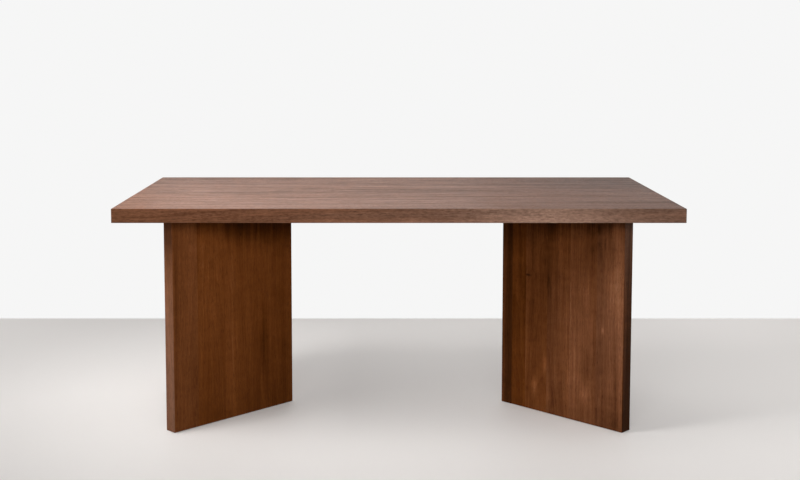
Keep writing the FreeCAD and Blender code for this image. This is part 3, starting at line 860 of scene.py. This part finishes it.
# Dark smears just below the head, at along 0.28 to 0.31, are partly wood and partly deepen the painted
# shade under the top.
RIGHT_MARKS = {
    1: (
        Streak(across=0.0, width=0.05, along=-0.28, reach=0.16, tone=0.1),
        Streak(across=0.034, width=0.034, along=0.08, reach=0.1, tone=-0.16),
    ),
    2: (
        HALF_HEAD_SHADE,
        Streak(across=0.03, width=0.04, along=0.31, reach=0.08, tone=-0.16),
        Streak(across=-0.045, width=0.028, along=0.085, reach=0.09, tone=-0.14),
        Streak(across=-0.045, width=0.01, along=-0.2, reach=0.4, tone=0.2),
        Streak(across=-0.007, width=0.024, along=-0.27, reach=0.06, tone=0.4),
        Streak(across=0.041, width=0.016, along=-0.185, reach=0.06, tone=0.34),
    ),
    3: (
        *PALE_STAVE_SHADE,
        Streak(across=-0.03, width=0.05, along=0.31, reach=0.08, tone=-0.2),
        Streak(across=-0.041, width=0.018, along=0.1, reach=0.45, tone=-0.26),
        Streak(across=-0.03, width=0.02, along=-0.24, reach=0.3, tone=-0.2),
        Streak(across=-0.018, width=0.026, along=-0.3, reach=0.07, tone=-0.2),
    ),
    4: (
        *PALE_STAVE_SHADE,
        Streak(across=-0.034, width=0.01, along=-0.22, reach=0.38, tone=0.2),
        Streak(across=0.014, width=0.028, along=0.09, reach=0.24, tone=0.12),
        Streak(across=0.018, width=0.03, along=-0.17, reach=0.1, tone=-0.2),
        Streak(across=0.01, width=0.026, along=-0.26, reach=0.06, tone=0.26),
        Streak(across=0.052, width=0.018, along=-0.18, reach=0.36, tone=-0.24),
        Streak(across=0.04, width=0.04, along=0.28, reach=0.18, tone=-0.2),
    ),
    5: (
        *PALE_STAVE_SHADE,
        # Painted shade: darker towards the foot, where the light falls off.
        Streak(across=0.0, width=WHOLE_WIDTH, along=FOOT, reach=0.4, tone=-0.2, fade=-0.03),
        Streak(across=-0.042, width=0.026, along=-0.14, reach=0.34, tone=-0.27),
        Streak(across=-0.048, width=0.03, along=0.29, reach=0.16, tone=-0.18),
        Streak(across=-0.05, width=0.014, along=0.305, reach=0.025, tone=-0.3),
        Streak(across=-0.028, width=0.008, along=-0.026, reach=0.018, tone=0.4),
        # A pale patch high on the outer stave, partly a painted highlight.
        Streak(across=0.014, width=0.042, along=0.125, reach=0.15, tone=0.26),
        Streak(across=0.04, width=0.03, along=-0.15, reach=0.35, tone=-0.12),
        # The outer edge is partly darker wood and partly painted shade, which deepens towards the foot.
        # Near the head it is painted lighter and greyer as painted light.
        Streak(across=RIGHT_OUTER_EDGE, width=RIGHT_RIM, along=FOOT, reach=1.1, tone=-0.72, fade=-0.1),
        Streak(across=RIGHT_OUTER_EDGE, width=RIGHT_RIM, along=HEAD, reach=0.4, tone=0.08, fade=0.22),
    ),
}
print("marks on the right leg:", sum(len(marks) for marks in RIGHT_MARKS.values()))

# %% Staves of the legs
STAVE_MARKS = {"left_front_panel": LEFT_MARKS, "right_front_panel": RIGHT_MARKS}
STAVE_KNOTS = {"right_front_panel_stave_2": (0.117, -0.0378, -0.0225)}

for panel, arm in ARMS.items():
    marks = STAVE_MARKS.get(panel, {})
    for number, (tone, fade) in enumerate(zip(STAVE_TONES[panel], STAVE_FADES[panel]), start=1):
        stave = f"{panel}_stave_{number}"
        walnut_board(
            stave, UPRIGHT, arm, tone=tone, fade=fade, contrast=PANEL_CONTRAST[panel],
            surface=PANEL_SURFACES.get(panel, LEG_SURFACE), streaks=marks.get(number, ()),
            knot=STAVE_KNOTS.get(stave, FAR_AWAY),
        )
print("staves:", sum(len(tones) for tones in STAVE_TONES.values()))

# %% [markdown]
# ## Hidden fittings
#
# Nobody sees the fittings of a finished table, but the maker does, so they get real finishes too: raw
# beech for the loose tenons, black powder coat for the plates, zinc for bolts and nuts, and moulded
# nylon for the glides. All four are a base colour that is clouded on a large scale and specked on a
# small one, so one group serves them. What differs is the size of the clouds and specks, the two
# colours, the shine and the depth of the specks.

# %% Clouds and specks
CLOUD_RANGE = (0.3, 0.7)


def make_clouds():
    """Soft clouds and fine specks, each from 0 to 1."""
    tree, given, made = new_group(
        "fitting_clouds",
        takes={"Place": "place", "Cloud Waves": "place", "Speck Waves": "place"},
        gives={"Clouds": "value", "Specks": "value"},
    )
    for label, waves, detail in (("Clouds", "Cloud Waves", 3.0), ("Specks", "Speck Waves", 1.0)):
        speckle = noise(tree, given["Place"], given[waves], detail=detail)[0]
        feed(tree, made[label], remap(tree, speckle, CLOUD_RANGE, (0.0, 1.0)))
    return tree


fitting_clouds = make_clouds()
print("fitting_clouds nodes:", len(fitting_clouds.nodes))

# %% Finishes of the fittings
Finish = namedtuple("Finish", "dark pale cloud_waves speck_waves speck_share rough metallic relief")
FINISHES = {
    "beech": Finish(
        dark=(0.42, 0.235, 0.11), pale=(0.56, 0.36, 0.2), cloud_waves=(25, 25, 90),
        speck_waves=(700, 700, 160), speck_share=0.35, rough=(0.55, 0.75), metallic=0.0, relief=0.00006,
    ),
    "black_steel": Finish(
        dark=(0.011, 0.011, 0.012), pale=(0.03, 0.03, 0.032), cloud_waves=(40, 40, 40),
        speck_waves=(1500, 1500, 1500), speck_share=0.5, rough=(0.45, 0.62), metallic=0.0, relief=0.00005,
    ),
    "zinc_steel": Finish(
        dark=(0.5, 0.52, 0.55), pale=(0.68, 0.67, 0.62), cloud_waves=(150, 150, 150),
        speck_waves=(1200, 1200, 3000), speck_share=0.3, rough=(0.25, 0.42), metallic=1.0, relief=0.00002,
    ),
    "nylon": Finish(
        dark=(0.022, 0.018, 0.015), pale=(0.05, 0.043, 0.037), cloud_waves=(120, 120, 120),
        speck_waves=(2200, 2200, 2200), speck_share=0.4, rough=(0.42, 0.6), metallic=0.0, relief=0.00003,
    ),
}


def fitting_material(slot, finish):
    """The material of one kind of fitting."""
    material = bpy.data.materials.new("fitting_" + slot)
    tree = open_tree(material)
    mapping = tree.nodes.new("ShaderNodeMapping")
    tree.links.new(tree.nodes.new("ShaderNodeTexCoord").outputs["Object"], mapping.inputs["Vector"])
    clouds = place_group(
        tree, fitting_clouds, place=mapping.outputs[0], cloud_waves=finish.cloud_waves,
        speck_waves=finish.speck_waves,
    ).outputs
    clouded = maths(tree, "MULTIPLY", clouds["Clouds"], 1.0 - finish.speck_share)
    share = maths(tree, "MULTIPLY_ADD", clouds["Specks"], finish.speck_share, clouded)
    shader = tree.nodes.new("ShaderNodeBsdfPrincipled")
    shader.inputs["Metallic"].default_value = finish.metallic
    colour = mix_colours(tree, share, (*finish.dark, 1.0), (*finish.pale, 1.0))
    tree.links.new(colour, shader.inputs["Base Color"])
    tree.links.new(remap(tree, clouds["Specks"], (0.0, 1.0), finish.rough), shader.inputs["Roughness"])
    bump = tree.nodes.new("ShaderNodeBump")
    bump.inputs["Distance"].default_value = finish.relief
    tree.links.new(clouds["Specks"], bump.inputs["Height"])
    tree.links.new(bump.outputs[0], shader.inputs["Normal"])
    tree.links.new(shader.outputs[0], tree.nodes.new("ShaderNodeOutputMaterial").inputs["Surface"])
    return material


slot_of = {row["node"]: row["material_slot"] for row in frame["record"]["subparts"]}
for slot, finish in FINISHES.items():
    fitted = [name for name in nodes if slot_of[name] == slot]
    material = fitting_material(slot, finish)
    for name in fitted:
        nodes[name].material_slots[0].material = material
    print(slot, "on", len(fitted), "nodes")
